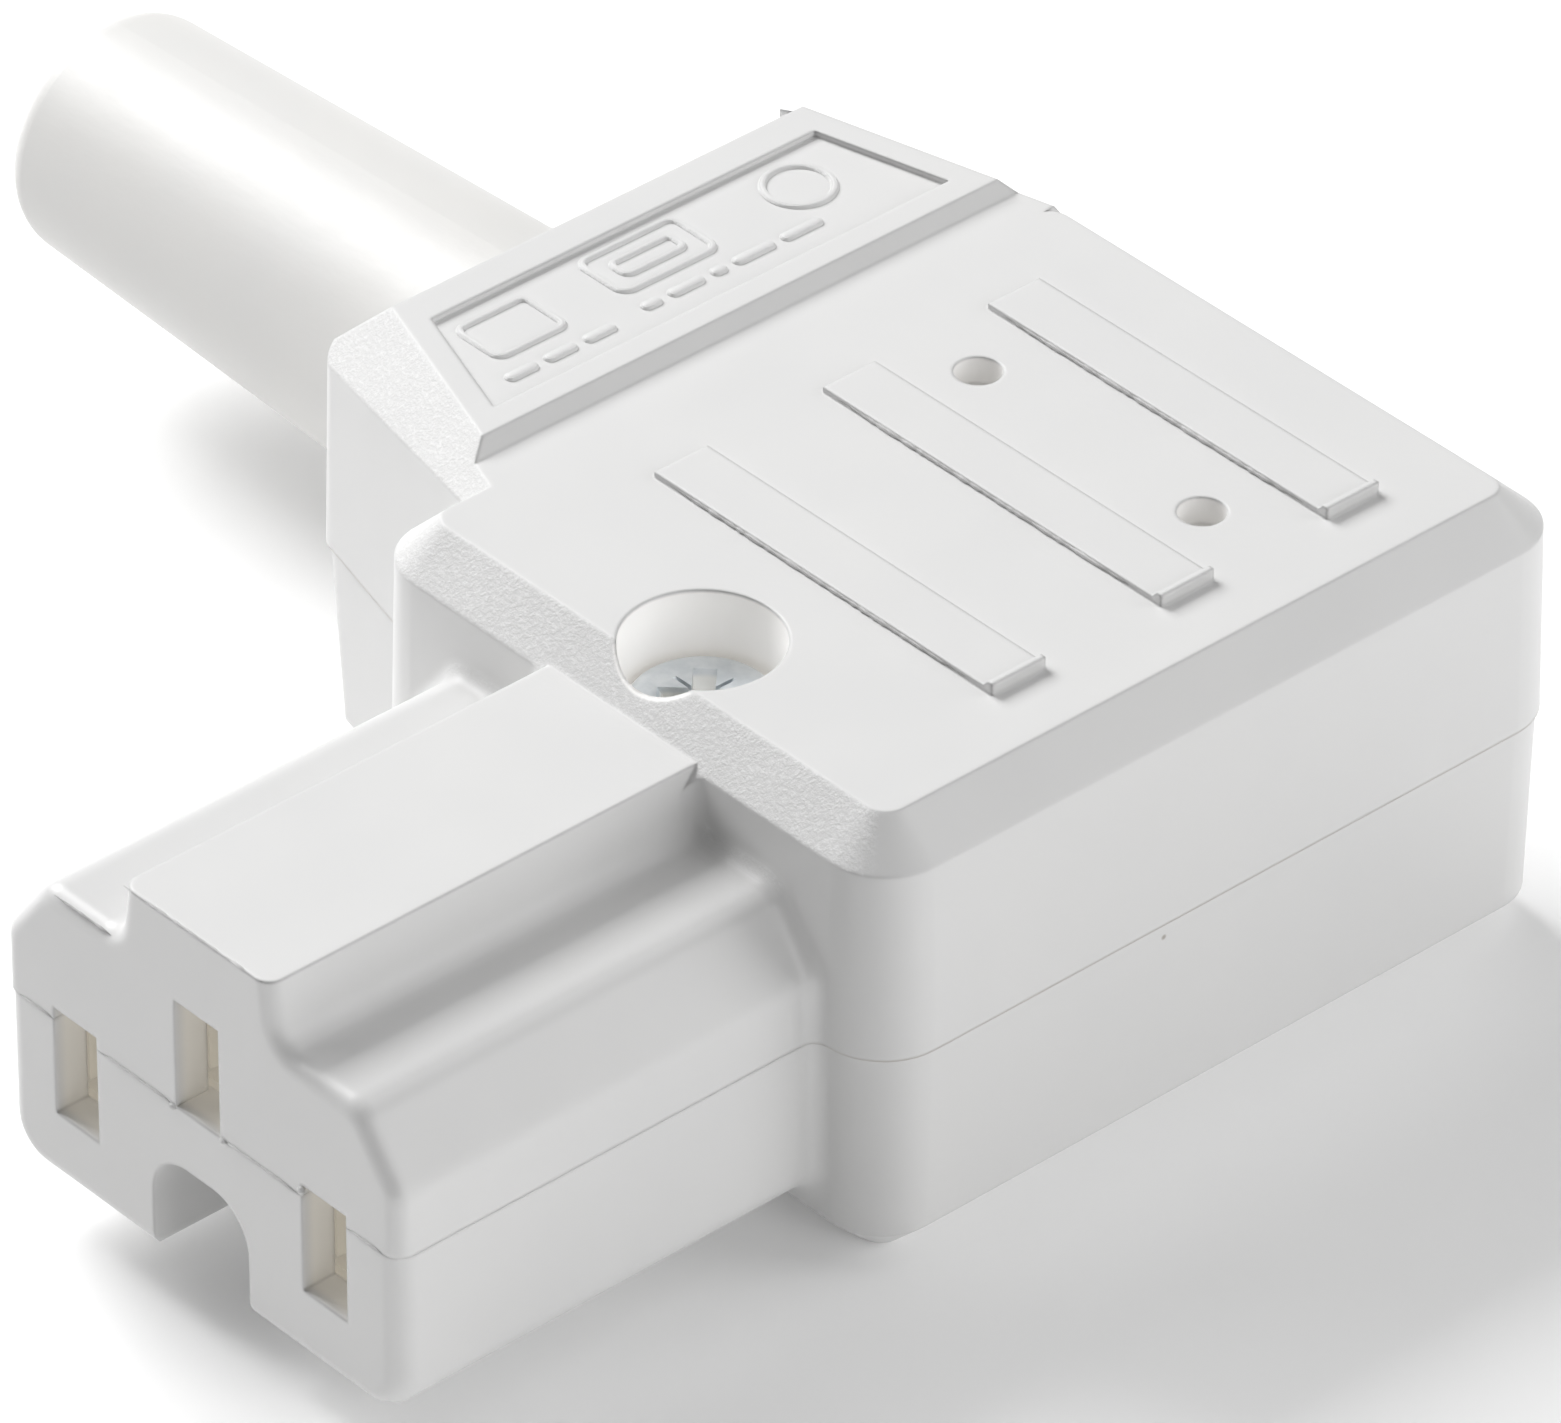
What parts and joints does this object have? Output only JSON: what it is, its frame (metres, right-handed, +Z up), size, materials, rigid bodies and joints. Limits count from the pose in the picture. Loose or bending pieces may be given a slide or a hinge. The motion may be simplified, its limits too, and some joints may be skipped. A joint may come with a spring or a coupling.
{
  "type": "right-angled rewirable appliance connector",
  "caption": "Right-angled rewirable appliance connector: slotted nose with a keyway groove underneath, screwed split housing with finger ribs, and a smooth cord sleeve at the side.",
  "frame": {"origin": "centre line of the nose face, in the parting plane of the two shells", "axes": "+X across the nose, away from the cord; +Y from the nose face into the housing; +Z up, towards the label field"},
  "size_m": [0.0671, 0.0553, 0.0204],
  "materials": {
    "housing": "white moulded thermoset, smooth flats and fine-textured bevels",
    "sleeve": "satin warm white",
    "zinc_steel": "bright zinc plating",
    "contact_metal": "nickel-plated sheet",
    "spring_steel": "plain spring steel",
    "brass": "turned brass",
    "clamp": "moulded off-white"
  },
  "bodies": {
    "root": {"upper_shell": "housing", "lower_shell": "housing", "cord_sleeve": "sleeve", "housing_screw": "zinc_steel", "housing_nut": "zinc_steel", "live_contact": "contact_metal", "neutral_contact": "contact_metal", "earth_contact": "contact_metal", "live_contact_spring": "spring_steel", "neutral_contact_spring": "spring_steel", "earth_contact_spring": "spring_steel", "live_terminal": "brass", "neutral_terminal": "brass", "earth_terminal": "brass", "live_terminal_screw": "zinc_steel", "neutral_terminal_screw": "zinc_steel", "earth_terminal_screw": "zinc_steel", "cord_clamp": "clamp", "front_clamp_screw": "zinc_steel", "rear_clamp_screw": "zinc_steel"}
  },
  "joints": []
}
